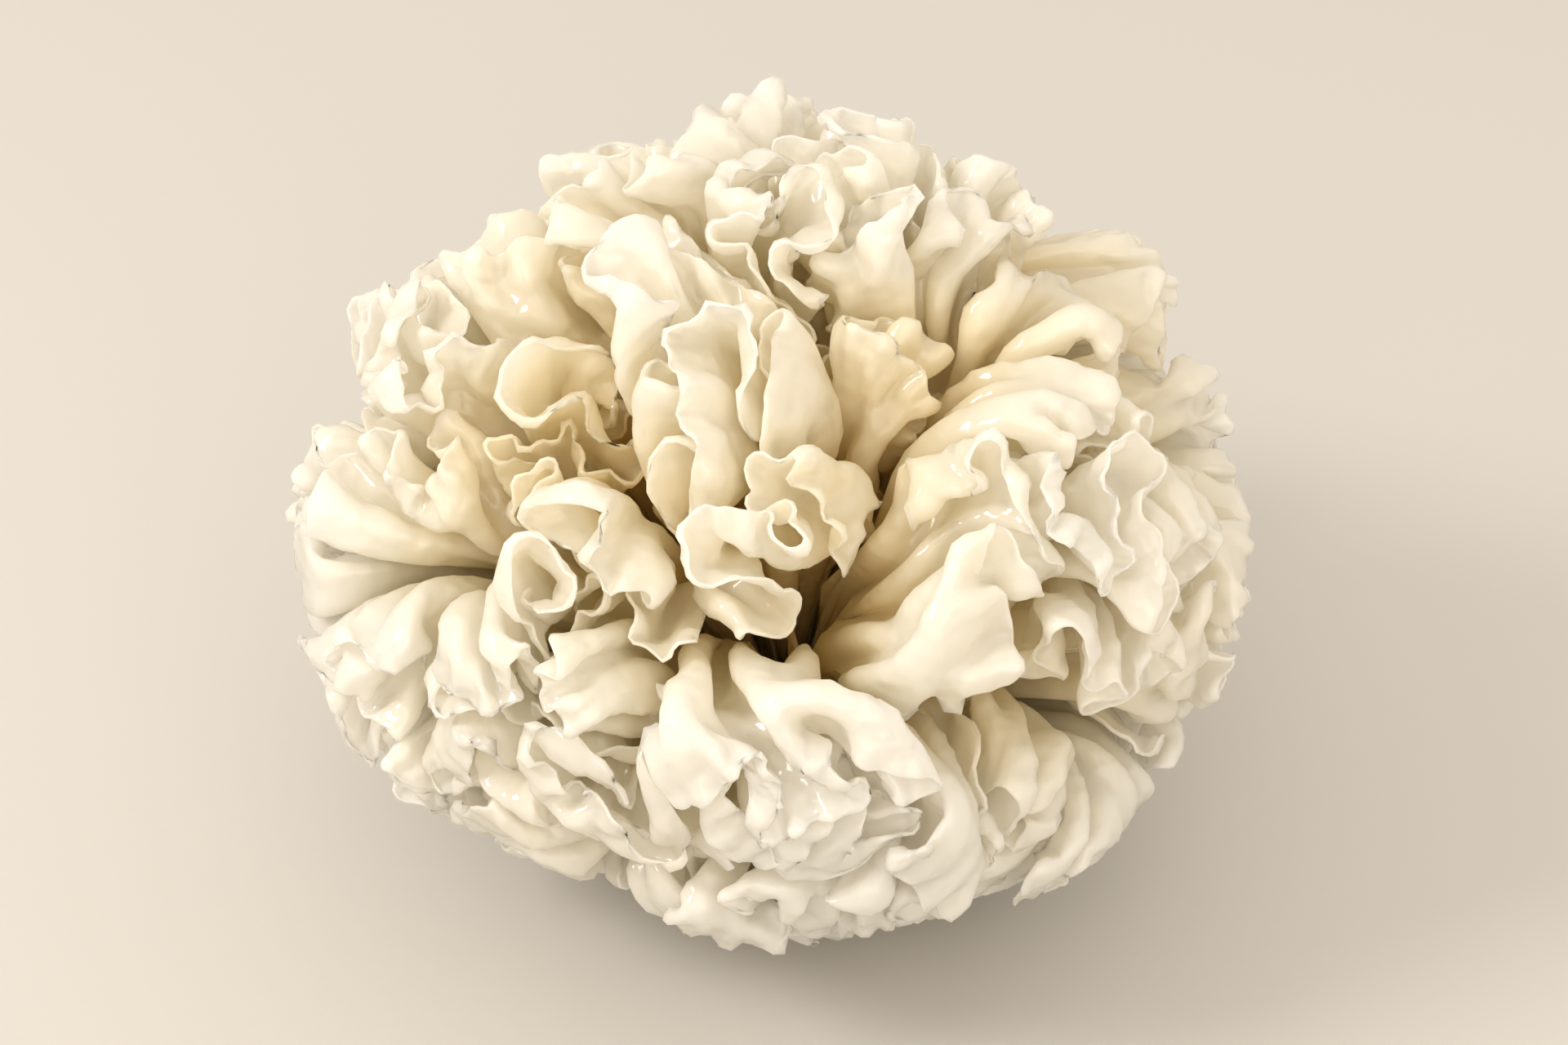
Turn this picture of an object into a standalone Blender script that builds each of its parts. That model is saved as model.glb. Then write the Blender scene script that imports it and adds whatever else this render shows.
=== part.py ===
# A soaked snow fungus: a ball of thin ruffled jelly fronds that all fork from one tough foot.
# The foot is cut flat below, where it left its log, and the ball rests on that cut.
# Metres, +Z up, origin at the middle of the flat cut.
import math
import random

import bmesh
import bpy
import numpy as np
from mathutils.bvhtree import BVHTree

# Driving dimensions of the ball that the fronds fill
BALL_WIDTH = 0.120
BALL_DEPTH = 0.116
BALL_HEIGHT = 0.100
BALL_HALF = np.array([BALL_WIDTH / 2, BALL_DEPTH / 2, BALL_HEIGHT / 2])
BALL_CENTRE = np.array([0.0, 0.0, BALL_HEIGHT / 2])

# Where the ball is fuller or flatter than an even one, as seen from the front at left, right, top and foot:
# (azimuth and elevation of the place in degrees, share of the reach added, spread in degrees)
UNEVEN = (
    (180, 25, 0.05, 30),
    (100, 62, 0.04, 16),
    (66, 55, -0.13, 13),
    (0, 45, -0.05, 22),
    (-52, -5, 0.03, 20),
    (-118, -8, -0.10, 12),
)

# Foot: a stub with a domed crown that carries the frond roots
FORK_HEIGHT = 0.014
FORK_POINT = np.array([0.0, 0.0, FORK_HEIGHT])
CROWN_RADIUS = 0.0125
CUT_RADIUS = 0.0135
CUT_EDGE_HEIGHT = 0.0014
WAIST_RADIUS = 0.0118
WAIST_HEIGHT = 0.0077
FOOT_SIDES = 24
CROWN_RINGS = 5
MERGE_DISTANCE = 0.00005
JOINT_GAP = 0.0003

# Fronds: how many, how thick, and how far they stay from each other and from the surface under them
FROND_COUNT = 48
FROND_THICKNESS = 0.0010
CLEAR = FROND_THICKNESS / 2 + 0.0005
FLOOR_CLEAR = 0.0026

# Where the rims lie: a spiral down the ball, from its top to the height of the lowest rim
RIM_SEED = 5
LOWEST_RIM = 0.004
GOLDEN_ANGLE = math.pi * (3 - math.sqrt(5))
SPIRAL_START = 0.6
AZIMUTH_JITTER = 0.12
HEIGHT_JITTER = 0.002

# Each frond's cell reaches halfway to its neighbours: its limits in radians, and the ring of bare cells below
WIDEST_CELL = 0.45
NARROWEST_CELL = 0.05
NARROWEST_ROOM = 0.02
CELL_SAMPLES = 24
FLOOR_POLAR = math.radians(138)
FLOOR_CELLS = 14
TINY = 1e-6

# Each frond is drawn by chance from its own seed, and again from the next one where its wall crosses itself
FIRST_DRAW = 1200
DRAWS = 40
NEXT_DRAW = 100

# Points of a sheet: columns across it, columns that meet in one at its root, and its rows from root to rim
ACROSS = 10
ROOT_FAN = 5
ROWS = (0.0, 0.25, 0.5, 0.75, 1.0)

# Ruffle of a rim: waves across the sheet, swing of the rim's heading and bend over its whole width in degrees,
# and the rows over which it grows
RUFFLE_WAVES = (1.3, 2.0)
RUFFLE_SWING = (48, 65)
RIM_BEND = 45
RUFFLE_ROWS = (0.4, 1.0)
RIM_LINE_POINTS = 401

# A sheet's width as a share of its cell, at its root and from its widest row on, and how far it stands turned
WIDTH = 1.75
ROOT_WIDTH = 0.7
WIDEST_ROW = 0.8
TURN_SPREAD = 0.7

# A sheet stands at one side of its cell, rises early, then curls over to the other side, mostly downwards:
# shares of the cell, the rows over which it curls, how early it rises, and how square the cell's corners are
LEAN_START = 0.9
LEAN_TRAVEL = (1.5, 1.9)
LEAN_ROWS = (0.3, 1.05)
UPWARD_LEANS = 0.3
RISE_POWER = 4.0
CELL_POWER = 5

# A rim's outline as shares of the reach: its length, how far its ends are rounded off, and its lobes' depth
RIM_LENGTH = (0.98, 1.0)
ROUNDED_ENDS = 0.03
END_POWER = 3
LOBE_DEPTH = 0.035
LOBE_WAVES = (1.8, 2.8)

# Fronds lean outwards as they rise: share of the rim's polar angle, and how late it comes
SPREAD_TURN = 0.28
SPREAD_POWER = 3.0

# Slow swells that bend whole neighbourhoods of fronds together: (seed, wavelength, height), waves in each,
# and the shares of the reach over which they grow
SWELLS = ((11, 0.080, 0.0032), (12, 0.045, 0.0010))
WAVES_PER_SWELL = 7
WAVE_JITTER = (0.8, 1.25)
SWELL_SHARES = (0.35, 0.9)

# Finish of the two materials
JELLY_COLOUR = (0.93, 0.86, 0.73, 1.0)
JELLY_ROUGHNESS = 0.35
FOOT_COLOUR = (0.80, 0.60, 0.32, 1.0)
FOOT_ROUGHNESS = 0.6


def clear_scene():
    for thing in list(bpy.data.objects):
        bpy.data.objects.remove(thing)


def unit(v):
    return v / np.linalg.norm(v, axis=-1, keepdims=True)


def from_angles(azimuth, elevation):
    level = math.cos(elevation)
    return np.array([level * math.cos(azimuth), level * math.sin(azimuth), math.sin(elevation)])


def smooth_step(x, start, end):
    t = np.clip((x - start) / (end - start), 0, 1)
    return t * t * (3 - 2 * t)


def reach(direction):
    """Distance from the fork point to the ball's surface along each unit direction."""
    offset = FORK_POINT - BALL_CENTRE
    a = ((direction / BALL_HALF) ** 2).sum(-1)
    b = (direction * offset / BALL_HALF**2).sum(-1)
    c = ((offset / BALL_HALF) ** 2).sum() - 1
    fullness = 1.0
    for azimuth, elevation, amount, spread_angle in UNEVEN:
        place = from_angles(math.radians(azimuth), math.radians(elevation))
        away = np.arccos(np.clip(direction @ place, -1, 1)) / math.radians(spread_angle)
        fullness = fullness + amount * np.exp(-(away**2))
    return fullness * (-b + np.sqrt(b * b - a * c)) / a


def spread(rim_direction, share):
    """Direction, at a share of the reach, of a frond that ends at rim_direction: it leans out as it rises."""
    polar = np.arccos(np.clip(rim_direction[..., 2], -1, 1))
    azimuth = np.arctan2(rim_direction[..., 1], rim_direction[..., 0])
    polar = polar * (1 + SPREAD_TURN * share**SPREAD_POWER) / (1 + SPREAD_TURN)
    return np.stack(
        [np.sin(polar) * np.cos(azimuth), np.sin(polar) * np.sin(azimuth), np.cos(polar)], -1
    )


def swell_waves(seed, wavelength):
    rng = np.random.RandomState(seed)
    wave = unit(rng.normal(size=(WAVES_PER_SWELL, 3))) * (2 * math.pi / wavelength)
    wave *= rng.uniform(*WAVE_JITTER, (WAVES_PER_SWELL, 1))
    push = rng.normal(size=(WAVES_PER_SWELL, 3)) / math.sqrt(WAVES_PER_SWELL)
    return wave, push, rng.uniform(0, 2 * math.pi, WAVES_PER_SWELL)


def swell(points, share):
    """Moves points sideways with their neighbours, more towards the rim."""
    shift = np.zeros_like(points)
    for seed, wavelength, height in SWELLS:
        wave, push, phase = swell_waves(seed, wavelength)
        shift += height * (np.sin(points @ wave.T + phase) @ push)
    outward = unit(points - FORK_POINT)
    shift -= (shift * outward).sum(-1, keepdims=True) * outward
    return points + shift * smooth_step(share, *SWELL_SHARES)[..., None]


def rim_directions():
    """One direction for each frond's rim, on a spiral that gives every frond an equal share of the ball."""
    rng = random.Random(RIM_SEED)
    found = []
    for k in range(FROND_COUNT):
        z = BALL_HEIGHT - (BALL_HEIGHT - LOWEST_RIM) * (k + 0.5) / FROND_COUNT
        ring = math.sqrt(1 - ((z - BALL_CENTRE[2]) / BALL_HALF[2]) ** 2)
        azimuth = SPIRAL_START + k * GOLDEN_ANGLE + rng.uniform(-AZIMUTH_JITTER, AZIMUTH_JITTER)
        found.append(
            [
                BALL_HALF[0] * ring * math.cos(azimuth),
                BALL_HALF[1] * ring * math.sin(azimuth),
                z + rng.uniform(-HEIGHT_JITTER, HEIGHT_JITTER) - FORK_HEIGHT,
            ]
        )
    return unit(np.array(found))


def floor_directions():
    """Directions below the lowest fronds, which bound their cells towards the surface the ball stands on."""
    around = np.linspace(0, 2 * math.pi, FLOOR_CELLS, endpoint=False)
    return np.array([from_angles(azimuth, math.pi / 2 - FLOOR_POLAR) for azimuth in around])


RIMS = rim_directions()
BELOW = floor_directions()


def cell_limit(k, tangent):
    """Angle from frond k's own direction to halfway to its nearest neighbour, along each tangent."""
    others = np.concatenate([np.delete(RIMS, k, 0), BELOW])
    towards = tangent @ others.T
    angle = np.arctan((1 - others @ RIMS[k]) / np.maximum(towards, TINY))
    return np.minimum(np.where(towards > TINY, angle, WIDEST_CELL).min(-1), WIDEST_CELL)


def ruffle_line(u, heading_swing, waves, phase, bend):
    """Points of a rim line that winds from side to side, one row for each swing of its heading."""
    fine = np.linspace(-1, 1, RIM_LINE_POINTS)
    heading = heading_swing[:, None] * np.sin(math.pi * waves * fine + phase) + bend[:, None] * fine
    step = fine[1] - fine[0]
    x = np.cumsum(np.cos(heading), 1) * step
    y = np.cumsum(np.sin(heading), 1) * step
    x -= x.mean(1, keepdims=True)
    y -= y.mean(1, keepdims=True)
    rows = range(len(heading_swing))
    return (
        np.array([np.interp(u, fine, x[r]) for r in rows]),
        np.array([np.interp(u, fine, y[r]) for r in rows]),
    )


def frond_sheet(k, draw, u, v):
    """Middle surface of frond k: u runs across it from -1 to 1, v from its root at 0 to its rim at 1."""
    rng = random.Random(FIRST_DRAW + NEXT_DRAW * draw + k)
    out = RIMS[k]
    level = unit(np.cross([0.0, 0.0, 1.0], out))
    rise = np.cross(out, level)
    turn = rng.gauss(0, TURN_SPREAD)
    across = math.cos(turn) * level + math.sin(turn) * rise
    facing = np.cross(out, across)

    waves = rng.uniform(*RUFFLE_WAVES)
    phase = rng.uniform(0, 2 * math.pi)
    swing = math.radians(rng.uniform(*RUFFLE_SWING)) * smooth_step(v, *RUFFLE_ROWS)
    bend = math.radians(rng.uniform(-RIM_BEND, RIM_BEND)) * smooth_step(v, 0, 1)
    x, y = ruffle_line(u, swing, waves, phase, bend)

    risen = 1 - (1 - v) ** RISE_POWER
    around = np.linspace(0, 2 * math.pi, CELL_SAMPLES, endpoint=False)[:, None]
    distance = CROWN_RADIUS + (reach(out) - CROWN_RADIUS) * risen
    margin = CLEAR * (1 + SPREAD_TURN) / distance
    cell = cell_limit(k, np.cos(around) * across + np.sin(around) * facing).mean()
    size = np.maximum(cell - margin, NARROWEST_CELL)[:, None]
    width = WIDTH * size * (ROOT_WIDTH + (1 - ROOT_WIDTH) * smooth_step(v, 0, WIDEST_ROW))[:, None]
    side = 1 if rng.random() < UPWARD_LEANS else -1
    lean = side * size * (rng.uniform(*LEAN_TRAVEL) * smooth_step(v, *LEAN_ROWS) - LEAN_START)[:, None]
    a = x * width
    b = y * width + lean

    lobes = LOBE_DEPTH * (np.sin(math.pi * rng.uniform(*LOBE_WAVES) * u + rng.uniform(0, 2 * math.pi)) - 1)
    rim_share = rng.uniform(*RIM_LENGTH) - ROUNDED_ENDS * np.abs(u) ** END_POWER
    root_length = CROWN_RADIUS + JOINT_GAP
    root_share = root_length / reach(out)
    share = root_share + (rim_share[None, :] - root_share) * risen[:, None]
    share = share + lobes[None, :] * smooth_step(v, *RUFFLE_ROWS)[:, None]

    angle = np.hypot(a, b)
    tangent = (a[..., None] * across + b[..., None] * facing) / np.maximum(angle, TINY)[..., None]
    room = cell_limit(k, tangent.reshape(-1, 3)).reshape(angle.shape)
    room = np.maximum(room - margin[:, None], NARROWEST_ROOM)
    angle = angle / (1 + (angle / room) ** CELL_POWER) ** (1 / CELL_POWER)
    rim_direction = np.cos(angle)[..., None] * out + np.sin(angle)[..., None] * tangent
    direction = spread(rim_direction, share)
    length = share * reach(direction)
    length[0] = root_length
    points = swell(FORK_POINT + length[..., None] * direction, share)
    points[..., 2] = np.maximum(points[..., 2], FLOOR_CLEAR)
    return points


def jelly_material(name, colour, roughness):
    material = bpy.data.materials.new(name)
    material.use_nodes = True
    shader = material.node_tree.nodes["Principled BSDF"]
    shader.inputs["Base Color"].default_value = colour
    shader.inputs["Roughness"].default_value = roughness
    shader.inputs["Metallic"].default_value = 0.0
    return material


def new_object(name, mesh, material, collection):
    mesh.materials.append(material)
    thing = bpy.data.objects.new(name, mesh)
    collection.objects.link(thing)
    return thing


def make_foot(material, collection):
    """The foot is turned: its outline runs from the crown's top down its outer side to the flat cut."""
    profile = [(0.0, FORK_HEIGHT + CROWN_RADIUS)]
    for ring in range(1, CROWN_RINGS + 1):
        angle = ring * math.pi / 2 / CROWN_RINGS
        profile.append((CROWN_RADIUS * math.sin(angle), FORK_HEIGHT + CROWN_RADIUS * math.cos(angle)))
    profile += [(WAIST_RADIUS, WAIST_HEIGHT), (CUT_RADIUS, CUT_EDGE_HEIGHT), (CUT_RADIUS, 0.0), (0.0, 0.0)]
    mesh = bpy.data.meshes.new("foot")
    shape = bmesh.new()
    corners = [shape.verts.new((r, 0, z)) for r, z in profile]
    for first, second in zip(corners, corners[1:]):
        shape.edges.new((first, second))
    shape.to_mesh(mesh)
    shape.free()
    foot = new_object("foot", mesh, material, collection)
    turned = foot.modifiers.new("Turned", "SCREW")
    turned.steps = turned.render_steps = FOOT_SIDES
    turned.use_merge_vertices = True
    turned.merge_threshold = MERGE_DISTANCE
    turned.use_smooth_shade = False


def curled_grid(k, draw):
    """A flat grid, curled to the sheet of one draw of frond k, with its root drawn together."""
    shape = bmesh.new()
    bmesh.ops.create_grid(shape, x_segments=ACROSS, y_segments=len(ROWS) - 1, size=1.0)
    sheet = frond_sheet(k, draw, np.linspace(-1, 1, ACROSS + 1), np.array(ROWS))
    root = {}
    for vert in shape.verts:
        column = round((vert.co.x + 1) / 2 * ACROSS)
        row = round((vert.co.y + 1) / 2 * (len(ROWS) - 1))
        vert.co = sheet[row, column]
        if row == 0:
            root[column] = vert
    fan = {root[c]: root[round(c / ROOT_FAN) * ROOT_FAN] for c in root if c % ROOT_FAN}
    bmesh.ops.weld_verts(shape, targetmap=fan)
    bmesh.ops.triangulate(shape, faces=shape.faces[:], quad_method="SHORT_EDGE")
    return shape


def crosses_itself(frond):
    """Whether two triangles of a frond's wall that share no corner meet."""
    wall = frond.evaluated_get(bpy.context.evaluated_depsgraph_get()).to_mesh()
    wall.calc_loop_triangles()
    places = [vert.co.copy() for vert in wall.vertices]
    triangles = [tuple(triangle.vertices) for triangle in wall.loop_triangles]
    tree = BVHTree.FromPolygons(places, triangles)
    return any(not set(triangles[a]) & set(triangles[b]) for a, b in tree.overlap(tree))


def make_frond(k, material, collection):
    """A frond is a curled sheet that gets its wall from Solidify, drawn until its wall is clear of itself."""
    name = f"frond_{k + 1:02d}"
    frond = new_object(name, bpy.data.meshes.new(name), material, collection)
    wall = frond.modifiers.new("Wall", "SOLIDIFY")
    wall.thickness = FROND_THICKNESS
    wall.offset = 0.0
    for draw in range(DRAWS):
        shape = curled_grid(k, draw)
        shape.to_mesh(frond.data)
        shape.free()
        frond.data.shade_smooth()
        if not crosses_itself(frond):
            return
    raise ValueError(f"{name} crosses itself in each of its {DRAWS} draws")


def main():
    clear_scene()
    collection = bpy.data.collections.new("snow_fungus")
    bpy.context.scene.collection.children.link(collection)
    make_foot(jelly_material("foot", FOOT_COLOUR, FOOT_ROUGHNESS), collection)
    jelly = jelly_material("jelly", JELLY_COLOUR, JELLY_ROUGHNESS)
    for k in range(FROND_COUNT):
        make_frond(k, jelly, collection)


main()
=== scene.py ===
# %% [markdown]
# # A soaked snow fungus
#
# A snow fungus is one jelly body: dozens of thin sheets fork from a short tough foot, and each sheet
# keeps growing at its free rim long after its base has stopped. The rim becomes longer than the space it
# has, so it buckles into ruffles, and the ruffles of all the sheets together fill a ball.
#
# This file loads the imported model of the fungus, which gives every frond its place, and dresses each
# frond as a tuft of fine sheets. The sheets are grown here by the same rule as the real ones.

# %% Load the frame
import math
import random

import bpy
import numpy as np
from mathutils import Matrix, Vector


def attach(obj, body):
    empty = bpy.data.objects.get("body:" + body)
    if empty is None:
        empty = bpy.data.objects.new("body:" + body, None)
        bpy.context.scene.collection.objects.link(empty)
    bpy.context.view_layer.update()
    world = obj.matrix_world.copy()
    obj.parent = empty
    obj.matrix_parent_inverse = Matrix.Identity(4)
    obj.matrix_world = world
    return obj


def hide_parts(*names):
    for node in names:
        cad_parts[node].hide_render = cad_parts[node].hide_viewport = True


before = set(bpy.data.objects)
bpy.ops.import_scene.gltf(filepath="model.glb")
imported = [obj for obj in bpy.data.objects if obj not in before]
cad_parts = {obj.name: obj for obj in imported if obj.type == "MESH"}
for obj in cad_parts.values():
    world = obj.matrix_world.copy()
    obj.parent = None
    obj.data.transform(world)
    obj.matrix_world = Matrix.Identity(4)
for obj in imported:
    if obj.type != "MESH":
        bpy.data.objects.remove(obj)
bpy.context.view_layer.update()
fronds = sorted(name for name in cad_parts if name.startswith("frond_"))

# %% [markdown]
# ## Helpers for modelling by operator
#
# An operator acts on everything that is selected, and loading the frame leaves its nodes selected. So
# each new piece starts with an empty selection, and modifiers are applied with only that piece active.


# %% Selection and modifiers
def deselect_all():
    bpy.ops.object.select_all(action="DESELECT")


def make_active(piece):
    deselect_all()
    piece.select_set(True)
    bpy.context.view_layer.objects.active = piece


def apply_modifiers(piece):
    make_active(piece)
    for modifier in list(piece.modifiers):
        bpy.ops.object.modifier_apply(modifier=modifier.name)


def smooth_step(x, start, end):
    t = np.clip((x - start) / (end - start), 0, 1)
    return t * t * (3 - 2 * t)


def unit(v):
    return v / np.linalg.norm(v, axis=-1, keepdims=True)


# %% [markdown]
# ## The table, the light and the camera
#
# The fungus lies on a plain pale surface. A soft lamp stands in front of it on the left, so that the
# shadow falls to the right, and it is small enough to leave bright spots on wet jelly. A wide weak lamp
# and a pale sky fill the rest, so even the gaps are lit. The camera looks down at 36 degrees, as a cook
# looks at something on the worktop.

# %% Stage and camera
FLOOR_SIZE = 6.0
FLOOR_COLOUR = (0.52, 0.49, 0.44, 1.0)
FLOOR_ROUGHNESS = 0.7
SKY_COLOUR = (1.0, 0.94, 0.86, 1.0)
SKY_STRENGTH = 1.15
AIM = Vector((0.0, 0.0, 0.048))
CAMERA_ELEVATION = math.radians(36)
CAMERA_DISTANCE = 0.464
CAMERA_LENS = 85
CAMERA_CLIP = 0.01
# Lamps: (place, size, energy, colour)
KEY = ((-0.62, -0.22, 0.64), 0.26, 4.0, (1.0, 0.985, 0.96))
FILL = ((0.10, -0.85, 0.50), 0.90, 4.0, (1.0, 0.95, 0.88))
BOUNCES = 10
GLOSS_BOUNCES = 6


def soft_lamp(name, place, size, energy, colour):
    deselect_all()
    bpy.ops.object.light_add(type="AREA", location=place)
    lamp = bpy.context.object
    lamp.name = name
    lamp.rotation_euler = (AIM - Vector(place)).to_track_quat("-Z", "Y").to_euler()
    lamp.data.size = size
    lamp.data.energy = energy
    lamp.data.color = colour
    return lamp


soft_lamp("key", *KEY)
soft_lamp("fill", *FILL)

world = bpy.data.worlds.new("pale studio")
bpy.context.scene.world = world
world.use_nodes = True
sky = world.node_tree.nodes["Background"]
sky.inputs["Color"].default_value = SKY_COLOUR
sky.inputs["Strength"].default_value = SKY_STRENGTH
bpy.context.scene.view_settings.view_transform = "Standard"
bpy.context.scene.cycles.max_bounces = BOUNCES
bpy.context.scene.cycles.diffuse_bounces = BOUNCES
bpy.context.scene.cycles.glossy_bounces = GLOSS_BOUNCES

deselect_all()
bpy.ops.mesh.primitive_plane_add(size=FLOOR_SIZE)
floor = bpy.context.object
floor.name = "floor"
floor_finish = bpy.data.materials.new("pale table")
floor_finish.use_nodes = True
floor_shader = floor_finish.node_tree.nodes["Principled BSDF"]
floor_shader.inputs["Base Color"].default_value = FLOOR_COLOUR
floor_shader.inputs["Roughness"].default_value = FLOOR_ROUGHNESS
floor.data.materials.append(floor_finish)

deselect_all()
backwards = Vector((0.0, -math.cos(CAMERA_ELEVATION), math.sin(CAMERA_ELEVATION)))
bpy.ops.object.camera_add(location=AIM + CAMERA_DISTANCE * backwards)
camera = bpy.context.object
camera.rotation_euler = (-backwards).to_track_quat("-Z", "Y").to_euler()
camera.data.lens = CAMERA_LENS
camera.data.clip_start = CAMERA_CLIP
bpy.context.scene.camera = camera
print("camera at", tuple(round(c, 3) for c in camera.location))

# %% [markdown]
# ## The jelly
#
# The sheets are clear jelly with a little milkiness. Light enters one face and most of it leaves by the
# other, spread out, so a single sheet looks ivory, and the depths of the ball, where light has passed many
# sheets, look amber. True subsurface scattering turned grey in such thin walls, so the light that passes
# is made by a Translucent shader mixed with a plain milky one. The amber of the depths is painted too: a
# colour that runs from amber near the ball's middle to ivory at its surface, read from object coordinates,
# is painted glow and warm shade. A thin glossy layer on top, stronger where a sheet turns away from the
# eye, makes it wet, and a fine grain breaks up its bright spots.

# %% Jelly material
FORK = np.array([0.0, 0.0, 0.014])
BALL_HALF = np.array([0.060, 0.058, 0.050])
BALL_CENTRE = np.array([0.0, 0.0, 0.050])
# Painted glow and warm shade by depth, amber around the fork to ivory at the rims: (share of the ball's
# radius, colour)
PAINTED_DEPTH_GLOW_COLOURS = (
    (0.37, (1.0, 0.85, 0.49, 1.0)),
    (0.70, (0.998, 0.928, 0.745, 1.0)),
    (0.88, (0.995, 0.965, 0.885, 1.0)),
    (1.00, (0.995, 0.975, 0.93, 1.0)),
)
# How far soft blotches shift the depth, and their scale
BLOTCH = 0.10
BLOTCH_SCALE = 60
# Share of the light that passes a wall, and the rest is reflected by the milky part
THROUGH_LIGHT = 0.72
MILKY_ROUGHNESS = 0.16
# Share of gloss where a sheet faces the eye and where it turns away, and how rough the gloss is
WET_SHARE = (0.04, 0.20)
WET_ROUGHNESS = (0.06, 0.20)
TURNED_BLEND = 0.3
GRAIN_SCALE = 520
GRAIN_DEPTH = 0.0005
GRAIN_STRENGTH = 0.9


def add_node(tree, kind, **settings):
    node = tree.nodes.new(kind)
    for name, value in settings.items():
        setattr(node, name, value)
    return node


def noise(tree, place, scale, detail):
    pattern = add_node(tree, "ShaderNodeTexNoise")
    pattern.inputs["Scale"].default_value = scale
    pattern.inputs["Detail"].default_value = detail
    tree.links.new(place.outputs["Object"], pattern.inputs["Vector"])
    return pattern


def mapped(tree, source, low, high):
    """Turns values from 0 to 1 into values from low to high."""
    node = add_node(tree, "ShaderNodeMapRange")
    node.inputs["To Min"].default_value = low
    node.inputs["To Max"].default_value = high
    tree.links.new(source, node.inputs["Value"])
    return node.outputs["Result"]


def depth_in_ball(tree, place):
    """0 at the ball's centre and 1 on its surface."""
    centred = add_node(tree, "ShaderNodeVectorMath", operation="SUBTRACT")
    centred.inputs[1].default_value = tuple(BALL_CENTRE)
    tree.links.new(place.outputs["Object"], centred.inputs[0])
    scaled = add_node(tree, "ShaderNodeVectorMath", operation="DIVIDE")
    scaled.inputs[1].default_value = tuple(BALL_HALF)
    tree.links.new(centred.outputs["Vector"], scaled.inputs[0])
    length = add_node(tree, "ShaderNodeVectorMath", operation="LENGTH")
    tree.links.new(scaled.outputs["Vector"], length.inputs[0])
    return length.outputs["Value"]


# Painted glow and warm shade of the depths: a colour ramp from amber inside the ball to ivory at its surface.
def painted_depth_glow(tree, depth):
    tint = add_node(tree, "ShaderNodeValToRGB")
    first, last = tint.color_ramp.elements
    first.position, first.color = PAINTED_DEPTH_GLOW_COLOURS[0]
    last.position, last.color = PAINTED_DEPTH_GLOW_COLOURS[-1]
    for position, colour in PAINTED_DEPTH_GLOW_COLOURS[1:-1]:
        tint.color_ramp.elements.new(position).color = colour
    tree.links.new(depth, tint.inputs["Fac"])
    return tint.outputs["Color"]


def jelly_material():
    jelly = bpy.data.materials.new("snow fungus jelly")
    jelly.use_nodes = True
    tree = jelly.node_tree
    link = tree.links.new
    milky = tree.nodes["Principled BSDF"]
    place = add_node(tree, "ShaderNodeTexCoord")
    cloudy = noise(tree, place, BLOTCH_SCALE, 1)
    uneven = add_node(tree, "ShaderNodeMath", operation="ADD")
    link(depth_in_ball(tree, place), uneven.inputs[0])
    link(mapped(tree, cloudy.outputs["Fac"], -BLOTCH, BLOTCH), uneven.inputs[1])
    # The painted amber glow and shade of the depths colours both the milky part and the translucent part.
    tint = painted_depth_glow(tree, uneven.outputs["Value"])
    link(tint, milky.inputs["Base Color"])
    milky.inputs["Roughness"].default_value = MILKY_ROUGHNESS
    milky.inputs["Specular IOR Level"].default_value = 0.0

    through = add_node(tree, "ShaderNodeBsdfTranslucent")
    link(tint, through.inputs["Color"])
    both = add_node(tree, "ShaderNodeMixShader")
    both.inputs["Fac"].default_value = THROUGH_LIGHT
    link(milky.outputs["BSDF"], both.inputs[1])
    link(through.outputs["BSDF"], both.inputs[2])

    grain = noise(tree, place, GRAIN_SCALE, 0)
    bump = add_node(tree, "ShaderNodeBump")
    bump.inputs["Strength"].default_value = GRAIN_STRENGTH
    bump.inputs["Distance"].default_value = GRAIN_DEPTH
    link(grain.outputs["Fac"], bump.inputs["Height"])
    link(bump.outputs["Normal"], milky.inputs["Normal"])
    gloss = add_node(tree, "ShaderNodeBsdfGlossy")
    link(mapped(tree, cloudy.outputs["Fac"], *WET_ROUGHNESS), gloss.inputs["Roughness"])
    link(bump.outputs["Normal"], gloss.inputs["Normal"])
    turned = add_node(tree, "ShaderNodeLayerWeight")
    turned.inputs["Blend"].default_value = TURNED_BLEND
    wet = add_node(tree, "ShaderNodeMixShader")
    link(mapped(tree, turned.outputs["Facing"], *WET_SHARE), wet.inputs["Fac"])
    link(both.outputs["Shader"], wet.inputs[1])
    link(gloss.outputs["BSDF"], wet.inputs[2])
    link(wet.outputs["Shader"], tree.nodes["Material Output"].inputs["Surface"])
    return jelly


jelly = jelly_material()
print("jelly has", len(jelly.node_tree.nodes), "nodes")

# %% [markdown]
# ## Where the sheets go
#
# Each frond of the frame is a direction out of the fork. More sheets are put where the gaps between
# those directions are widest, one after the other, until the ball is as full as the real one. Every
# sheet owns the cone of space that is nearer to its direction than to any other, so that the sheets start
# out clear of each other, and each belongs to the tuft of the nearest frond.

# %% Directions of the sheets
SHEETS = 100
CROWN_RADIUS = 0.0125
# A frond's direction is that of its corners beyond this share of them, counted from the fork
OUTER_CORNERS = 0.6
# Places where a sheet may be added: their number, and the height of the lowest direction
FREE_PLACES = 1500
LOWEST_WAY = -0.30
# Where the ball stands out or is sunk: (azimuth, elevation, share of its radius, width), in degrees
UNEVEN = (
    (180, 25, 0.05, 30),
    (100, 62, 0.04, 16),
    (66, 55, -0.13, 13),
    (0, 45, -0.05, 22),
    (-52, -5, 0.03, 20),
    (-118, -8, -0.10, 12),
)


def from_angles(azimuth, elevation):
    level = math.cos(elevation)
    return np.array([level * math.cos(azimuth), level * math.sin(azimuth), math.sin(elevation)])


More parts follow.
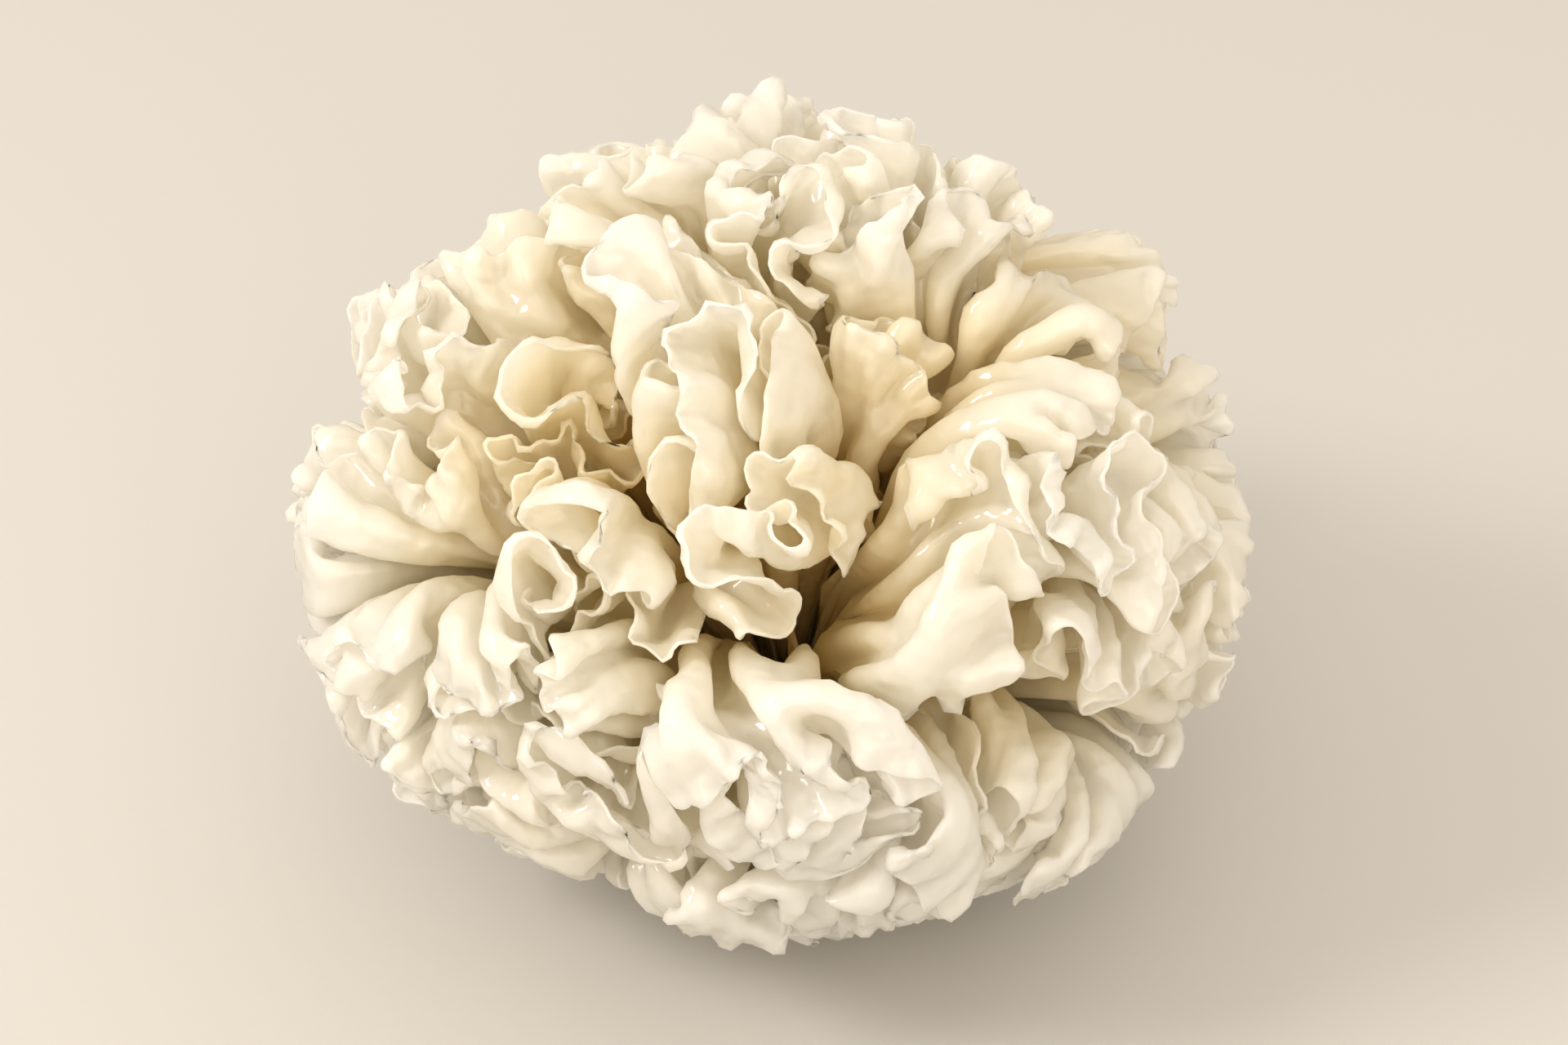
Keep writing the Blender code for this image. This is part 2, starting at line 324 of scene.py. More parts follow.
def fullness(way):
    """How far the ball's surface stands out of an even ellipsoid, along unit directions."""
    share = 1.0
    for azimuth, elevation, amount, wide in UNEVEN:
        place = from_angles(math.radians(azimuth), math.radians(elevation))
        away = np.arccos(np.clip(way @ place, -1, 1)) / math.radians(wide)
        share = share + amount * np.exp(-(away**2))
    return share


def reach(way):
    """Distance from the fork to the ball's surface along unit directions."""
    offset = FORK - BALL_CENTRE
    a = ((way / BALL_HALF) ** 2).sum(-1)
    b = (way * offset / BALL_HALF**2).sum(-1)
    c = ((offset / BALL_HALF) ** 2).sum() - 1
    return fullness(way) * (-b + np.sqrt(b * b - a * c)) / a


def frond_way(name):
    """Direction from the fork to the outer part of a frond of the frame."""
    corners = np.array([vert.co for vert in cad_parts[name].data.vertices]) - FORK
    far = np.linalg.norm(corners, axis=1)
    return unit(corners[far > np.quantile(far, OUTER_CORNERS)].mean(0))


def widest_gaps(ways, count):
    """Adds directions, each one where the surface is farthest from all that are there."""
    golden = math.pi * (3 - math.sqrt(5))
    steps = np.arange(FREE_PLACES)
    height = 1 - (1 - LOWEST_WAY) * (steps + 0.5) / len(steps)
    ring = np.sqrt(1 - height**2)
    free = np.stack([ring * np.cos(steps * golden), ring * np.sin(steps * golden), height], -1)
    spots = free * reach(free)[:, None]
    taken = ways * reach(ways)[:, None]
    nearest = np.linalg.norm(spots[:, None] - taken[None], axis=-1).min(1)
    ways = list(ways)
    while len(ways) < count:
        widest = int(nearest.argmax())
        ways.append(free[widest])
        nearest = np.minimum(nearest, np.linalg.norm(spots - spots[widest], axis=1))
    return np.array(ways)


frond_ways = np.array([frond_way(name) for name in fronds])
sheet_ways = widest_gaps(frond_ways, SHEETS)
owner = (sheet_ways @ frond_ways.T).argmax(1)
print(len(sheet_ways), "sheets, most in one tuft:", np.bincount(owner).max())

# %% [markdown]
# ## A young sheet
#
# Before it ruffles, a sheet is a short fan: narrow at its root on the foot's crown, wider at its rim,
# with the rim already winding a little. It is drawn as a grid of points, rows from root to rim and
# columns across. Its winding line is a curve whose heading swings like a pendulum, which makes loops
# that a plain sine wave can't. A sheet rises early and then leans over, most of them downwards, so that
# broad faces show and not only rims. Last, slow swells bend whole neighbourhoods of sheets together.

# %% Young sheets
COLUMNS = 46
ROWS = np.concatenate([np.linspace(0, 0.4, 4)[:-1], np.linspace(0.4, 1.0, 17)])
# How far a sheet turns outwards on its way up, and how late
SPREAD_TURN = 0.28
SPREAD_POWER = 3.0
# Swells that bend whole neighbourhoods of sheets: (seed, wavelength, height), the shares of the ball's
# radius over which they set in, and how much of their push along the radius is taken away
SLOW_SWELLS = ((11, 0.070, 0.0040),)
SLOW_SWELL_SHARES = (0.25, 0.8)
TIP_SWELLS = ((21, 0.050, 0.0070), (22, 0.028, 0.0018))
TIP_SWELL_SHARES = (0.6, 1.05)
WAVES_PER_SWELL = 7
WAVE_LENGTHS = (0.8, 1.25)
SIDEWAYS_ONLY = 0.7
FIRST_DRAW = 4000
# The line that a sheet winds along: its points, its turn about the sheet's direction, number of winds,
# how far the heading swings and bends, in degrees, and the rows over which the swing sets in
LINE_POINTS = 401
TURN_SPREAD = 0.8
WINDS = (1.0, 2.0)
SWING = (50, 85)
SWING_ROWS = (0.3, 0.95)
BEND = (-70, 70)
# A sheet's width and lean, in shares of its cell
WIDTH = 1.5
ROOT_WIDTH = 0.6
WIDENING_ROWS = (0, 0.8)
LEAN_START = 0.5
LEAN_TRAVEL = (0.9, 1.7)
LEAN_ROWS = (0.3, 1.05)
UPWARD_LEANS = 0.3
RISE_POWER = 2.0
CELL_POWER = 4
# The rim: its length as a share of the ball's radius, its lobes and how far its ends fall back
RIM_LENGTH = (0.86, 1.04)
LONGEST_RIM = 1.02
LOBE_DEPTH = 0.05
LOBE_WAVES = (1.0, 2.4)
ROUNDED_ENDS = 0.14
# The root is sunk into the crown by a depth, in the direction that it has at a share of the radius
ROOT_DEPTH = 0.001
ROOT_SHARE = 0.2
# Cells in radians, as angles from the sheet's direction, and the gaps that sheets and floor keep
WIDEST_CELL = 0.45
SMALLEST_CELL = 0.03
SMALLEST_ROOM = 0.015
CELL_SIDES = 24
SHEET_CLEAR = 0.0006
FLOOR_CLEAR = 0.0012
# Directions down to the floor, which bound the lowest cells as a sheet's direction would
FLOOR_WAY_TURNS = 14
FLOOR_WAY_FALL = math.radians(48)


def turns(count):
    """Angles all the way round."""
    return np.linspace(0, 2 * math.pi, count, endpoint=False)


FLOOR_WAYS = np.array([from_angles(turn, -FLOOR_WAY_FALL) for turn in turns(FLOOR_WAY_TURNS)])


def winding_line(u, swing, waves, phase, bend):
    """Points across a winding line, one row for each swing of its heading."""
    fine = np.linspace(-1, 1, LINE_POINTS)
    heading = swing[:, None] * np.sin(math.pi * waves * fine + phase) + bend[:, None] * fine
    step = fine[1] - fine[0]
    x = np.cumsum(np.cos(heading), 1) * step
    y = np.cumsum(np.sin(heading), 1) * step
    x -= x.mean(1, keepdims=True)
    y -= y.mean(1, keepdims=True)
    return np.array([np.interp(u, fine, row) for row in x]), np.array([np.interp(u, fine, row) for row in y])


def cell_edge(k, tangent):
    """Angle from sheet k's direction to the edge of its cell, along each tangent."""
    others = np.concatenate([np.delete(sheet_ways, k, 0), FLOOR_WAYS])
    towards = tangent @ others.T
    angle = np.arctan((1 - others @ sheet_ways[k]) / np.maximum(towards, 1e-6))
    return np.minimum(np.where(towards > 1e-6, angle, WIDEST_CELL).min(-1), WIDEST_CELL)


def spread(way, share):
    """A sheet that ends at a direction leans outwards to it as it rises."""
    polar = np.arccos(np.clip(way[..., 2], -1, 1))
    azimuth = np.arctan2(way[..., 1], way[..., 0])
    polar = polar * (1 + SPREAD_TURN * share**SPREAD_POWER) / (1 + SPREAD_TURN)
    return np.stack([np.sin(polar) * np.cos(azimuth), np.sin(polar) * np.sin(azimuth), np.cos(polar)], -1)


def swell(points, share, swells, start, end):
    shift = np.zeros_like(points)
    for seed, wavelength, height in swells:
        rng = np.random.RandomState(seed)
        wave = unit(rng.normal(size=(WAVES_PER_SWELL, 3))) * (2 * math.pi / wavelength)
        wave *= rng.uniform(*WAVE_LENGTHS, (WAVES_PER_SWELL, 1))
        push = rng.normal(size=(WAVES_PER_SWELL, 3)) / math.sqrt(WAVES_PER_SWELL)
        shift += height * (np.sin(points @ wave.T + rng.uniform(0, 2 * math.pi, WAVES_PER_SWELL)) @ push)
    outward = unit(points - FORK)
    shift -= SIDEWAYS_ONLY * (shift * outward).sum(-1, keepdims=True) * outward
    return points + shift * smooth_step(share, start, end)[..., None]


def young_sheet(k):
    rng = random.Random(FIRST_DRAW + k)
    u = np.linspace(-1, 1, COLUMNS)
    v = ROWS
    out = sheet_ways[k]
    level = unit(np.cross([0.0, 0.0, 1.0], out))
    rise = np.cross(out, level)
    turn = rng.gauss(0, TURN_SPREAD)
    across = math.cos(turn) * level + math.sin(turn) * rise
    facing = np.cross(out, across)

    waves = rng.uniform(*WINDS)
    phase = rng.uniform(0, 2 * math.pi)
    swing = math.radians(rng.uniform(*SWING)) * smooth_step(v, *SWING_ROWS)
    bend = math.radians(rng.uniform(*BEND)) * smooth_step(v, 0, 1)
    x, y = winding_line(u, swing, waves, phase, bend)

    around = turns(CELL_SIDES)[:, None]
    risen = 1 - (1 - v) ** RISE_POWER
    distance = CROWN_RADIUS + (reach(out) - CROWN_RADIUS) * risen
    margin = SHEET_CLEAR * (1 + SPREAD_TURN) / distance
    size = cell_edge(k, np.cos(around) * across + np.sin(around) * facing).mean() - margin
    size = np.maximum(size, SMALLEST_CELL)[:, None]
    width = WIDTH * size * (ROOT_WIDTH + (1 - ROOT_WIDTH) * smooth_step(v, *WIDENING_ROWS))[:, None]
    side = 1 if rng.random() < UPWARD_LEANS else -1
    lean = side * size * (rng.uniform(*LEAN_TRAVEL) * smooth_step(v, *LEAN_ROWS) - LEAN_START)[:, None]
    a = x * width
    b = y * width + lean

    lobes = LOBE_DEPTH * np.sin(math.pi * rng.uniform(*LOBE_WAVES) * u + rng.uniform(0, 2 * math.pi))
    rim = np.minimum(rng.uniform(*RIM_LENGTH) - ROUNDED_ENDS * np.abs(u) ** 3 + lobes, LONGEST_RIM)
    root = (CROWN_RADIUS - ROOT_DEPTH) / reach(spread(out, ROOT_SHARE))
    share = root + (rim[None, :] - root) * risen[:, None]

    angle = np.hypot(a, b)
    tangent = (a[..., None] * across + b[..., None] * facing) / np.maximum(angle, 1e-9)[..., None]
    room = cell_edge(k, tangent.reshape(-1, 3)).reshape(angle.shape)
    room = np.maximum(room - margin[:, None], SMALLEST_ROOM)
    angle = angle / (1 + (angle / room) ** CELL_POWER) ** (1 / CELL_POWER)
    way = np.cos(angle)[..., None] * out + np.sin(angle)[..., None] * tangent
    way = spread(way, share)
    points = FORK + (share * reach(way))[..., None] * way
    points = swell(points, share, SLOW_SWELLS, *SLOW_SWELL_SHARES)
    points = swell(points, share, TIP_SWELLS, *TIP_SWELL_SHARES)
    points[..., 2] = np.maximum(points[..., 2], FLOOR_CLEAR)
    return points


young = np.array([young_sheet(k) for k in range(SHEETS)], np.float32)
print("young sheets:", young.shape)

# %% [markdown]
# ## Growth
#
# The sheets now grow. Every point is tied to its neighbours by springs, and the springs' lengths are
# raised a little at each step, most of all at the rims. A sheet that is too long for its place has to
# buckle. Three more rules keep it real: points that come close without being neighbours push each other
# apart, so the sheets grow around each other; a rim turns over to one side here and to the other
# there, as a leaf's edge curls; and a soft skin of the ball's shape holds the rims back. This is done
# with numpy, not with the cloth simulation, because cloth can't grow and has no quick way to keep a
# hundred sheets apart.

# %% Growth helpers
SINGLE = np.float32
# Cells have numbers from 0 up: the shift that makes them so, and more than there are along one axis
CELL_SHIFT = 500
CELL_RANGE = 1024


def pull(points, push, rows, columns, rest, strength, only_short=False):
    """Adds to push what brings each point and the one some rows and columns on to their rest length."""
    height, width = points.shape[1:3]
    here = (slice(None), slice(0, height - rows), slice(max(0, -columns), width - max(0, columns)))
    there = (slice(None), slice(rows, height), slice(max(0, columns), width + min(0, columns)))
    gap = points[there] - points[here]
    length = np.sqrt(np.einsum("...k,...k->...", gap, gap)) + SINGLE(1e-9)
    amount = (length - rest) / length * SINGLE(0.5 * strength)
    if only_short:
        amount = np.minimum(amount, 0)
    gap *= amount[..., None]
    push[here] += gap
    push[there] -= gap


class Nearby:
    """Finds pairs of points that are close but not neighbours in one sheet, by sorting them into cells."""

    def __init__(self, shape):
        sheet, row, column = np.mgrid[0 : shape[0], 0 : shape[1], 0 : shape[2]]
        self.sheet = sheet.ravel().astype(np.int32)
        self.row = row.ravel().astype(np.int16)
        self.column = column.ravel().astype(np.int16)

    def pairs(self, points, distance, active):
        chosen = np.nonzero(active)[0].astype(np.int32)
        cell = np.floor(points[chosen] / distance).astype(np.int64) + CELL_SHIFT
        key = (cell[:, 0] * CELL_RANGE + cell[:, 1]) * CELL_RANGE + cell[:, 2]
        order = np.argsort(key, kind="stable")
        key, chosen = key[order], chosen[order]
        place = points[chosen]
        sheet, row, column = self.sheet[chosen], self.row[chosen], self.column[chosen]
        count = np.arange(len(key))
        found = []
        for x, y in ((0, 0), (0, 1), (1, -1), (1, 0), (1, 1)):
            beside = key + (x * CELL_RANGE + y) * CELL_RANGE
            last = np.searchsorted(key, beside + 1, "right")
            first = count + 1 if (x, y) == (0, 0) else np.searchsorted(key, beside - 1, "left")
            number = last - first
            a = np.repeat(count, number)
            b = np.arange(len(a)) - np.repeat(np.cumsum(number) - number, number) + np.repeat(first, number)
            gap = place[a] - place[b]
            close = np.einsum("ij,ij->i", gap, gap) < distance * distance
            a, b = a[close], b[close]
            joined = (sheet[a] == sheet[b]) & (abs(row[a] - row[b]) <= 2) & (abs(column[a] - column[b]) <= 2)
            found.append(np.stack([chosen[a[~joined]], chosen[b[~joined]]], 1))
        return np.concatenate(found)


def sheet_normals(points):
    across = np.gradient(points, axis=2)
    along = np.gradient(points, axis=1)
    normal = np.cross(across, along)
    return normal / (np.linalg.norm(normal, axis=-1, keepdims=True) + 1e-12)


# %% Growing the sheets
GROWTH_STEPS = 160
GROWTH_SEED = 3
# Shares of the steps by which the springs have their full length and the rims stop curling
GROWN_BY = 0.65
CURL_ENDS = 0.8
FIND_PAIRS_EVERY = 4
SPRING_ROUNDS = 2
# Spacing of the points along a full-grown rim, how vigour differs between sheets and along one rim
RIM_SPACING = 0.0025
VIGOUR = (0.6, 1.35)
PATCH_STRENGTH = 0.45
PATCH_WAVES = (1, 2.6)
LEAST_GROWTH = 1.03
# Rows over which the growth sets in, and the share of it that they add: (start, end, share)
RIM_GROWTH = ((0.12, 0.9, 0.75), (0.68, 1.0, 0.4))
EXTRA_HEIGHT = 0.5
TALLER_ROWS = (0.5, 1.0)
# Springs between neighbours, and weaker ones over two points that keep the sheet from folding sharply
SPRING = 0.24
BEND_SPRING = 0.09
BEND_ACROSS = 0.98
BEND_UP = 0.97
# Contact: the least gap between points that aren't neighbours, and how far around pairs are looked for
SHEET_GAP = 0.0027
LOOK_AROUND = 1.35
CONTACT = 0.8
# Curl of the rims: its length a step, number of waves, their height and the lean to one side
CURL = 0.00004
CURL_WAVES = (0.5, 1.6)
CURL_HEIGHT = 0.7
CURL_SIDE = (-0.8, 0.8)
CURL_ROWS = (0.55, 1.0)
# How far the sheets sink in a step, and are shaken at the start so that they can buckle
DROOP = 0.00002
SHAKE = 0.0002
# The ball's skin for each sheet, as a share of its surface, and how strongly it holds a rim back
SKIN = (0.94, 1.03)
SKIN_HOLD = 0.5
# Rows nearer to the root than the first stay where they are, and than the second push no others away
FIXED_ROWS = 0.15
TOUCHING_ROWS = 0.25
# Such points that are closer than this share of the least gap count as touching
TOUCHING = 0.4
# A full turn in radians, near enough to start a wave anywhere
FULL_TURN = 6.28


def slow_wave(rng, number, waves, u):
    """One slow wave across each sheet."""
    return np.sin(math.pi * rng.uniform(*waves, (number, 1)) * u + rng.uniform(0, FULL_TURN, (number, 1)))


def grow(sheets):
    rng = np.random.RandomState(GROWTH_SEED)
    number, height, width = sheets.shape[:3]
    v = ROWS
    u = np.linspace(-1, 1, width)
    along = np.linalg.norm(np.diff(sheets, axis=2), axis=-1).mean(2)
    up = np.linalg.norm(np.diff(sheets, axis=1), axis=-1).mean(2)
    vigour = rng.uniform(*VIGOUR, number)
    patchy = 1 + PATCH_STRENGTH * slow_wave(rng, number, PATCH_WAVES, u)
    patchy = (patchy[:, 1:] + patchy[:, :-1]) / 2
    towards_rim = sum(amount * smooth_step(v, start, end) for start, end, amount in RIM_GROWTH)
    target = RIM_SPACING * vigour[:, None] * towards_rim
    base = along * LEAST_GROWTH
    gain = np.maximum(target - base, 0)
    along_end = (base[:, :, None] + gain[:, :, None] * patchy[:, None, :]).astype(SINGLE)
    along = np.repeat(along[:, :, None], width - 1, 2).astype(SINGLE)
    middle = (v[1:] + v[:-1]) / 2
    taller = 1 + rng.uniform(0, EXTRA_HEIGHT, number)[:, None] * smooth_step(middle, *TALLER_ROWS)
    up_end = (up * taller).astype(SINGLE)[:, :, None]
    up = up.astype(SINGLE)[:, :, None]
    curl = slow_wave(rng, number, CURL_WAVES, u) * CURL_HEIGHT
    curl = curl + rng.uniform(*CURL_SIDE, (number, 1))
    curl = (curl[:, None, :] * smooth_step(v, *CURL_ROWS)[None, :, None]).astype(SINGLE)[..., None]

    share = np.broadcast_to(v[None, :, None], sheets.shape[:3]).ravel().astype(SINGLE)
    free = (share > FIXED_ROWS).astype(SINGLE)[:, None]
    free_grid = free.reshape(number, height, width, 1)
    active = share > TOUCHING_ROWS
    nearby = Nearby(sheets.shape)
    points = sheets.reshape(-1, 3).copy()
    points += (rng.normal(size=points.shape) * SHAKE).astype(SINGLE) * free
    total = len(points)
    centre = BALL_CENTRE.astype(SINGLE)
    half = BALL_HALF.astype(SINGLE)
    skin = np.repeat(rng.uniform(*SKIN, number), height * width).astype(SINGLE)
    for step in range(GROWTH_STEPS):
        grown = SINGLE(min(1.0, (step + 1) / (GROWN_BY * GROWTH_STEPS)))
        now_along = along + (along_end - along) * grown
        now_up = up + (up_end - up) * grown
        slant = np.sqrt(((now_along[:, 1:] + now_along[:, :-1]) / 2) ** 2 + now_up**2)
        grid = points.reshape(number, height, width, 3)
        for _ in range(SPRING_ROUNDS):
            push = np.zeros_like(grid)
            pull(grid, push, 0, 1, now_along, SPRING)
            pull(grid, push, 1, 0, np.broadcast_to(now_up, (number, height - 1, width)), SPRING)
            pull(grid, push, 1, 1, slant, SPRING)
            pull(grid, push, 1, -1, slant, SPRING)
            two_across = (now_along[:, :, 1:] + now_along[:, :, :-1]) * SINGLE(BEND_ACROSS)
            pull(grid, push, 0, 2, two_across, BEND_SPRING, True)
            two_up = (now_up[:, 1:] + now_up[:, :-1]) * SINGLE(BEND_UP)
            pull(grid, push, 2, 0, np.broadcast_to(two_up, (number, height - 2, width)), BEND_SPRING, True)
            grid += push * free_grid
        if step % FIND_PAIRS_EVERY == 0:
            pairs = nearby.pairs(points, SHEET_GAP * LOOK_AROUND, active)
            normals = sheet_normals(grid)
            full = fullness(unit(points - FORK)).astype(SINGLE) * skin
        gap = points[pairs[:, 0]] - points[pairs[:, 1]]
        length = np.sqrt(np.einsum("ij,ij->i", gap, gap)) + SINGLE(1e-9)
        close = length < SHEET_GAP
        near, gap, length = pairs[close], gap[close], length[close]
        gap *= ((SINGLE(SHEET_GAP) - length) / length * SINGLE(0.5))[:, None]
        weight = SINGLE(CONTACT) / np.sqrt(np.maximum(np.bincount(near.ravel(), minlength=total), 1))
        for axis in range(3):
            move = np.bincount(near[:, 0], gap[:, axis], total) - np.bincount(near[:, 1], gap[:, axis], total)
            points[:, axis] += (move * weight).astype(SINGLE) * free[:, 0]
        if step < CURL_ENDS * GROWTH_STEPS:
            grid += normals * curl * SINGLE(CURL)
        points[:, 2] -= SINGLE(DROOP) * free[:, 0] * share
        from_centre = (points - centre) / half
        length = np.sqrt(np.einsum("ij,ij->i", from_centre, from_centre))
        over = length > full
        back = 1 - (1 - full[over] / length[over]) * SINGLE(SKIN_HOLD)
        points[over] = centre + (points[over] - centre) * back[:, None]
        np.maximum(points[:, 2], SINGLE(FLOOR_CLEAR), out=points[:, 2])
    touching = np.linalg.norm(points[pairs[:, 0]] - points[pairs[:, 1]], axis=1) < TOUCHING * SHEET_GAP
    print("pairs of points nearly touching:", int(touching.sum()), "of", len(pairs))
    return points.reshape(number, height, width, 3)


grown_sheets = grow(young)
rim_length = np.linalg.norm(np.diff(grown_sheets[:, -1], axis=1), axis=-1).sum()
print("grown: rims measure", round(float(rim_length), 2), "m in all")

# %% [markdown]
# ## From points to fine sheets
#
# The grown points are about 2 mm apart, which is enough for the folds but not for a smooth surface. They
# are relaxed a little, then finer points are read between them on smooth curves. Near the root a sheet is
# plain, so its rows lie far apart there, and they are close together at the rim. The rim gets a frill of
# small waves, too fine for the growth to make, and is nicked here and there as a real one is where it
# dried and tore. Where a rim is crowded the frill is weaker, because its walls would cross.

# %% Refining
RELAX_ROUNDS = 1
FINE_COLUMNS = 120
FINE_ROWS = np.concatenate(
    [np.linspace(0, 0.45, 4)[:-1], np.linspace(0.45, 0.94, 14)[:-1], np.linspace(0.94, 1.0, 4)]
)
# Nicks: their depth, the share of slow ones, and how fast those change from column to column
NICK_SEED = 8
NICK_DEPTH = 0.0005
SLOW_SHARE = 0.6
SLOW_NICKS = (0.5, 0.9)
# Rows from the rim that a nick moves, and how much of its depth each takes
NICKED_ROWS = ((-1, 1.0), (-2, 0.7), (-3, 0.35))
# The frill: length and height of its waves, how much and over which lengths both change, and its rows
FRILL_SEED = 9
FRILL_LENGTH = 0.0050
FRILL_HEIGHT = 0.0013
LENGTH_CHANGE = 0.3
HEIGHT_MEAN = 0.55
LENGTH_CHANGES = 0.011
HEIGHT_CHANGES = 0.017
FRILL_ROWS = (0.72, 1.0)
# A rim whose points are closer than this is crowded, and its frill is left weaker
ROOMY_STEP = 0.0006
SOFTEN_ROUNDS = 2


def relax(points):
    """Moves each inner and rim point halfway to the middle of its neighbours."""
    eased = points.copy()
    around = points[:, 2:, 1:-1] + points[:, :-2, 1:-1] + points[:, 1:-1, 2:] + points[:, 1:-1, :-2]
    eased[:, 1:-1, 1:-1] = 0.5 * points[:, 1:-1, 1:-1] + 0.125 * around
    eased[:, -1, 1:-1] = 0.5 * points[:, -1, 1:-1] + 0.25 * (points[:, -1, 2:] + points[:, -1, :-2])
    return eased


def resample(points, axis, places):
    """Reads points at places between them, counted in steps, on a smooth curve through four at a time."""
    points = np.moveaxis(points, axis, 0)
    padded = np.concatenate([2 * points[:1] - points[1:2], points, 2 * points[-1:] - points[-2:-1]])
    first = np.minimum(places.astype(int), len(points) - 2)
    t = (places - first).reshape((-1,) + (1,) * (points.ndim - 1))
    before, start, end, after = (padded[first + offset] for offset in range(4))
    slope_start = (end - before) / 2
    slope_end = (after - start) / 2
    curve = start + slope_start * t
    curve += (3 * (end - start) - 2 * slope_start - slope_end) * t**2
    curve += (2 * (start - end) + slope_start + slope_end) * t**3
    return np.moveaxis(curve, 0, axis)


def frill(points):
    """Small waves along each rim, at right angles to the sheet, here strong and there weak."""
    rng = np.random.RandomState(FRILL_SEED)
    number = len(points)
    step = np.linalg.norm(np.diff(points[:, -2], axis=1), axis=-1)
    along = np.concatenate([np.zeros((number, 1)), np.cumsum(step, 1)], 1)
    changing = np.sin(along / LENGTH_CHANGES + rng.uniform(0, FULL_TURN, (number, 1)))
    length = FRILL_LENGTH * (1 + LENGTH_CHANGE * changing)
    phase = np.cumsum(np.gradient(along, axis=1) / length, 1) * 2 * math.pi
    changing = np.sin(along / HEIGHT_CHANGES + rng.uniform(0, FULL_TURN, (number, 1)))
    strength = FRILL_HEIGHT * (HEIGHT_MEAN + (1 - HEIGHT_MEAN) * changing)
    roomy = np.minimum(np.gradient(along, axis=1) / ROOMY_STEP, 1)
    wave = strength * roomy**2 * np.sin(phase + rng.uniform(0, FULL_TURN, (number, 1)))
    rows = smooth_step(FINE_ROWS, *FRILL_ROWS)[None, :, None]
    return points + sheet_normals(points) * (wave[:, None, :] * rows)[..., None]


def nick_rims(points):
    """Pulls the last rows of each sheet back here and there."""
    rng = np.random.RandomState(NICK_SEED)
    number, _, width = points.shape[:3]
    depth = rng.uniform(0, 1, (number, width)) ** 2
    slow = np.arange(width) * rng.uniform(*SLOW_NICKS, (number, 1)) + rng.uniform(0, FULL_TURN, (number, 1))
    depth = NICK_DEPTH * (depth + SLOW_SHARE * np.sin(slow))
    inward = unit(points[:, -3] - points[:, -1])
    for row, share in NICKED_ROWS:
        points[:, row] += inward * (depth * share)[..., None]
    return points


for _ in range(RELAX_ROUNDS):
    grown_sheets = relax(grown_sheets)
fine = resample(grown_sheets.astype(float), 1, np.interp(FINE_ROWS, ROWS, np.arange(len(ROWS))))
fine = resample(fine, 2, np.linspace(0, COLUMNS - 1, FINE_COLUMNS))
fine = nick_rims(frill(fine))
for _ in range(SOFTEN_ROUNDS):
    fine = relax(fine)
print("fine sheets:", fine.shape)

# %% [markdown]
# ## Tufts
#
# Each sheet is a grid primitive whose points are put on a grown sheet. The sheets of one tuft are joined,
# crinkled by a cloud texture that is strongest near the rims, and given their wall by Solidify, thinner
# towards the rim. Crinkles and walls take no notice of what lies near, so where folds are tight the
# walls run into each other, which looks like jelly that touches.

# %% Tuft pieces
# Wall of a sheet at its root, and at its rim as a share of that
WALL = 0.0006
RIM_WALL = 0.6
# Rows over which the crinkles set in and the wall thins
CRINKLE_ROWS = (0.3, 1.0)
# Crinkles: (name, size of the pattern, height)
CRINKLES = (("broad crinkle", 0.0045, 0.0022), ("fine crinkle", 0.0024, 0.0009))


def crinkle_pattern(name, size):
    pattern = bpy.data.textures.new(name, type="CLOUDS")
    pattern.noise_scale = size
    pattern.noise_depth = 1
    return pattern


crinkles = [(name, crinkle_pattern(name, size), height) for name, size, height in CRINKLES]


def sheet_object(points):
    height, width = points.shape[:2]
    deselect_all()
    bpy.ops.mesh.primitive_grid_add(x_subdivisions=width - 1, y_subdivisions=height - 1, size=1.0)
    sheet = bpy.context.object
    sheet.data.vertices.foreach_set("co", points.reshape(-1))
    rim = sheet.vertex_groups.new(name="towards the rim")
    for row, share in enumerate(FINE_ROWS):
        members = list(range(row * width, (row + 1) * width))
        rim.add(members, float(smooth_step(share, *CRINKLE_ROWS)), "REPLACE")
    return sheet


